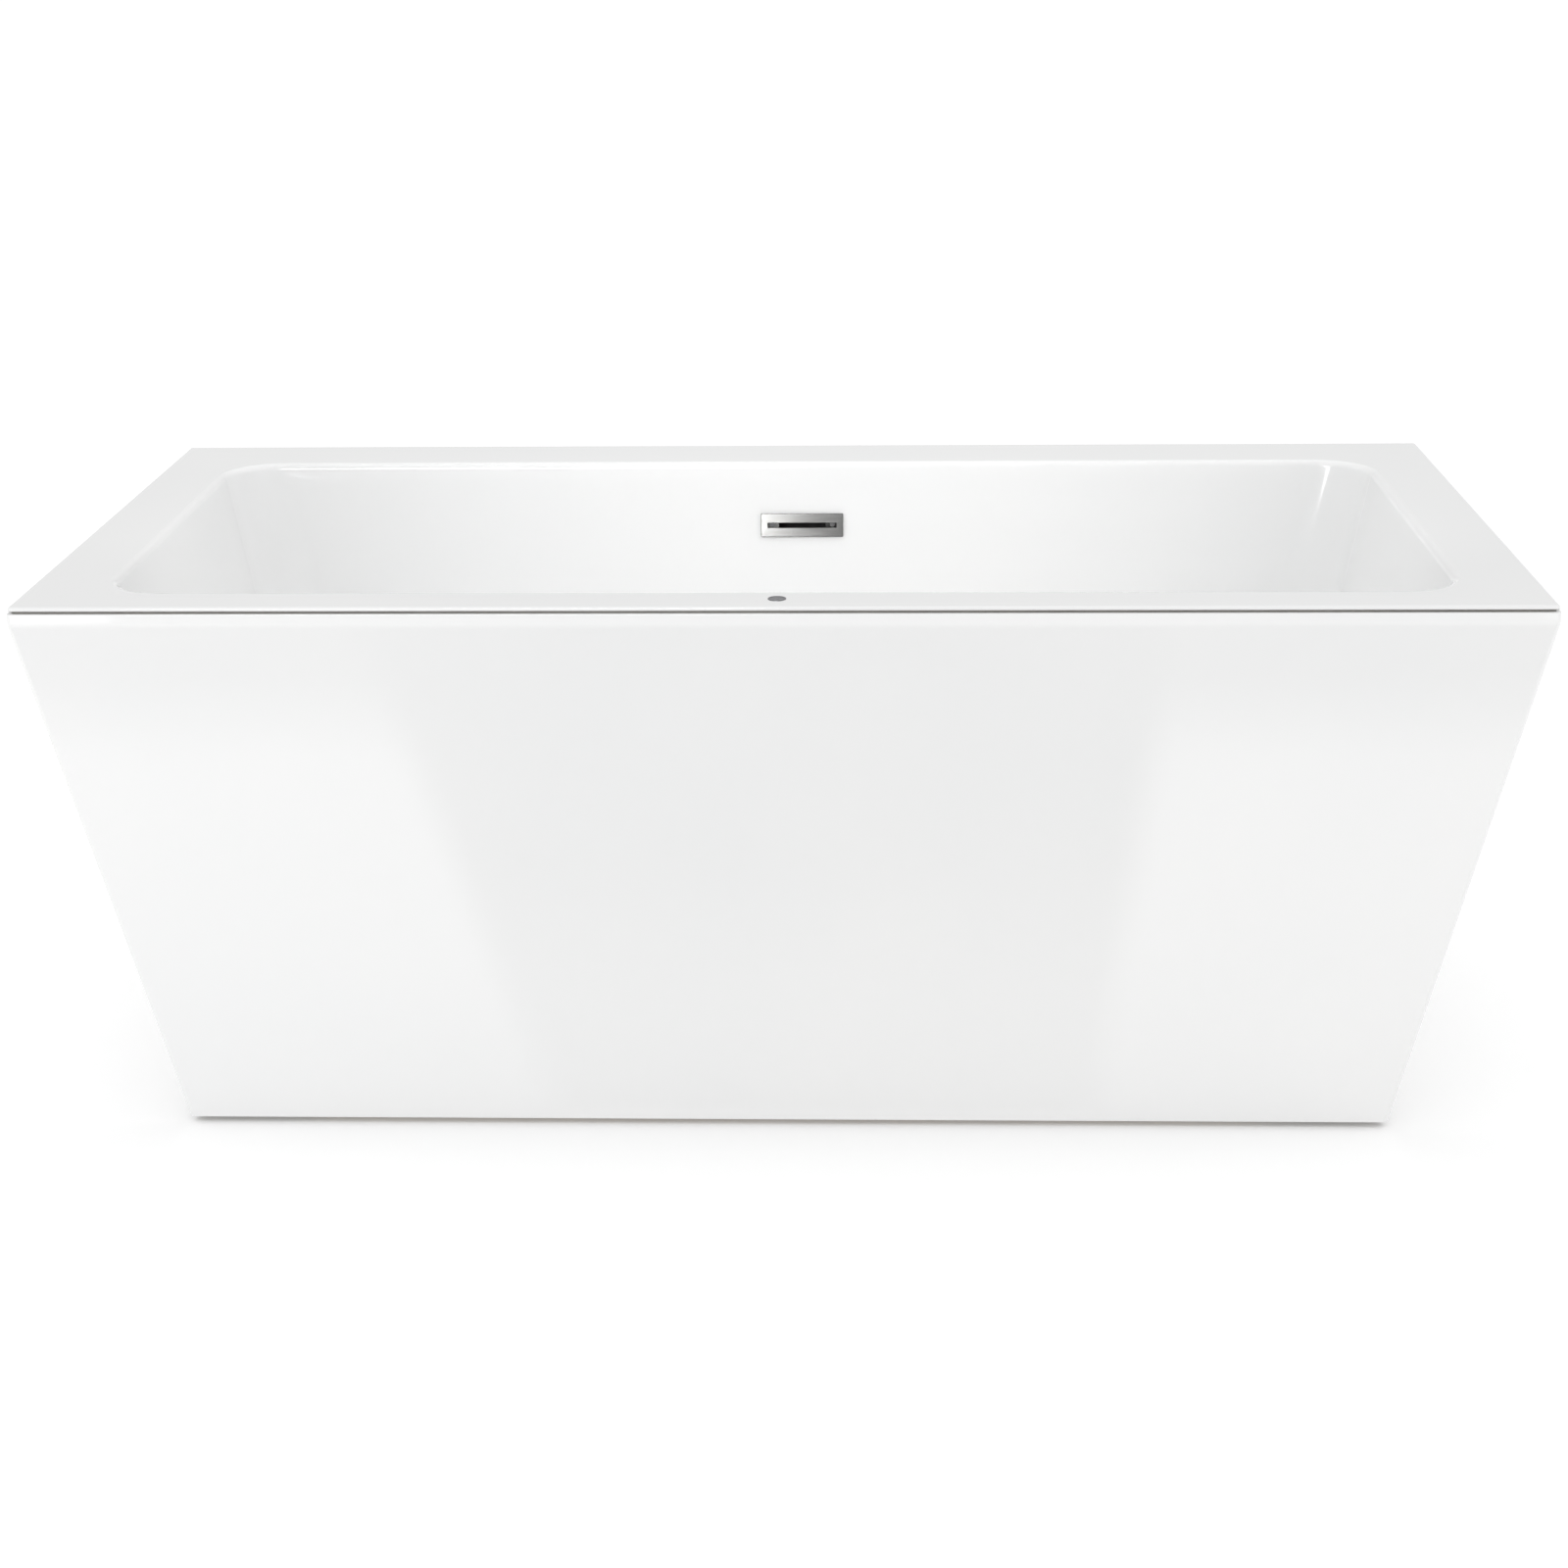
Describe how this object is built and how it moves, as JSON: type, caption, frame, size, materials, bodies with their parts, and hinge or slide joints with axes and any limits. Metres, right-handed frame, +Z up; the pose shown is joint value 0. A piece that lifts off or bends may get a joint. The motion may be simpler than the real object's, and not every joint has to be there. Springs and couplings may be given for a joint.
{
  "type": "freestanding bathtub",
  "caption": "Rectangular freestanding bath with a flat deck and tapering skirt, slot overflow, pop-up waste and height-adjustable feet.",
  "frame": {"origin": "on the floor under the centre of the deck", "axes": "+X along the bath's length, +Y towards the overflow side, +Z up"},
  "size_m": [1.5, 0.75, 0.5856],
  "materials": {
    "acrylic": "polished white",
    "laminate": "rough chopped-strand",
    "sealant": "satin grey",
    "badge_metal": "dark satin",
    "plywood": "raw plywood",
    "galvanised_steel": "spangled zinc",
    "zinc_steel": "bright zinc",
    "black_plastic": "moulded",
    "seal_rubber": "matt",
    "chrome_trim": "mirror",
    "brass": "machined",
    "hose_plastic": "ribbed"
  },
  "bodies": {
    "tub": {"basin_shell": "acrylic", "basin_laminate": "laminate", "skirt_shell": "acrylic", "skirt_laminate": "laminate", "rim_seal": "sealant", "rim_badge": "badge_metal", "base_board": "plywood", "board_screws": "zinc_steel", "front_rail": "galvanised_steel", "back_rail": "galvanised_steel", "cross_rail_1": "galvanised_steel", "cross_rail_2": "galvanised_steel", "cross_rail_3": "galvanised_steel", "cross_rail_4": "galvanised_steel", "foot_brackets": "galvanised_steel", "weld_nuts": "zinc_steel", "lock_nuts": "zinc_steel", "front_batten": "plywood", "back_batten": "plywood", "skirt_hangers": "galvanised_steel", "hanger_screws": "zinc_steel", "drain_flange": "chrome_trim", "flange_gasket": "seal_rubber", "clamp_washer": "seal_rubber", "clamp_nut": "black_plastic", "waste_tee": "black_plastic", "tailpiece": "chrome_trim", "slip_washer": "seal_rubber", "slip_nut": "black_plastic", "stopper_cartridge": "brass", "stopper_spring": "zinc_steel", "overflow_trim": "chrome_trim", "overflow_screws": "zinc_steel", "overflow_gasket": "seal_rubber", "overflow_housing": "black_plastic", "overflow_hose": "hose_plastic", "hose_clamps": "zinc_steel"},
    "stopper": {"stopper_stem": "brass", "stopper_seal": "seal_rubber", "stopper_cap": "chrome_trim"},
    "foot_1": {"foot_pad_1": "black_plastic", "foot_sole_1": "seal_rubber"},
    "stud_1": {"foot_stud_1": "zinc_steel"},
    "foot_2": {"foot_pad_2": "black_plastic", "foot_sole_2": "seal_rubber"},
    "stud_2": {"foot_stud_2": "zinc_steel"},
    "foot_3": {"foot_pad_3": "black_plastic", "foot_sole_3": "seal_rubber"},
    "stud_3": {"foot_stud_3": "zinc_steel"},
    "foot_4": {"foot_pad_4": "black_plastic", "foot_sole_4": "seal_rubber"},
    "stud_4": {"foot_stud_4": "zinc_steel"}
  },
  "joints": [
    {"name": "stopper_lift", "type": "slide", "parent": "tub", "child": "stopper", "axis": [0, 0, 1], "range_m": [0, 0.01], "deforming": ["stopper_spring"]},
    {"name": "foot_1_height", "type": "slide", "parent": "tub", "child": "foot_1", "axis": [0, 0, 1], "range_m": [-0.02, 0.005]},
    {"name": "stud_1_turn", "type": "hinge", "parent": "foot_1", "child": "stud_1", "pos_m": [-0.47, -0.248, 0], "axis": [0, 0, 1], "range_deg": [-4200, 1080]},
    {"name": "foot_2_height", "type": "slide", "parent": "tub", "child": "foot_2", "axis": [0, 0, 1], "range_m": [-0.02, 0.005]},
    {"name": "stud_2_turn", "type": "hinge", "parent": "foot_2", "child": "stud_2", "pos_m": [-0.47, 0.208, 0], "axis": [0, 0, 1], "range_deg": [-4200, 1080]},
    {"name": "foot_3_height", "type": "slide", "parent": "tub", "child": "foot_3", "axis": [0, 0, 1], "range_m": [-0.02, 0.005]},
    {"name": "stud_3_turn", "type": "hinge", "parent": "foot_3", "child": "stud_3", "pos_m": [0.47, -0.248, 0], "axis": [0, 0, 1], "range_deg": [-4200, 1080]},
    {"name": "foot_4_height", "type": "slide", "parent": "tub", "child": "foot_4", "axis": [0, 0, 1], "range_m": [-0.02, 0.005]},
    {"name": "stud_4_turn", "type": "hinge", "parent": "foot_4", "child": "stud_4", "pos_m": [0.47, 0.208, 0], "axis": [0, 0, 1], "range_deg": [-4200, 1080]}
  ],
  "couplings": [
    {"joint": "stud_1_turn", "follows": "foot_1_height", "rad_per_m": 3590.4},
    {"joint": "stud_2_turn", "follows": "foot_2_height", "rad_per_m": 3590.4},
    {"joint": "stud_3_turn", "follows": "foot_3_height", "rad_per_m": 3590.4},
    {"joint": "stud_4_turn", "follows": "foot_4_height", "rad_per_m": 3590.4}
  ]
}
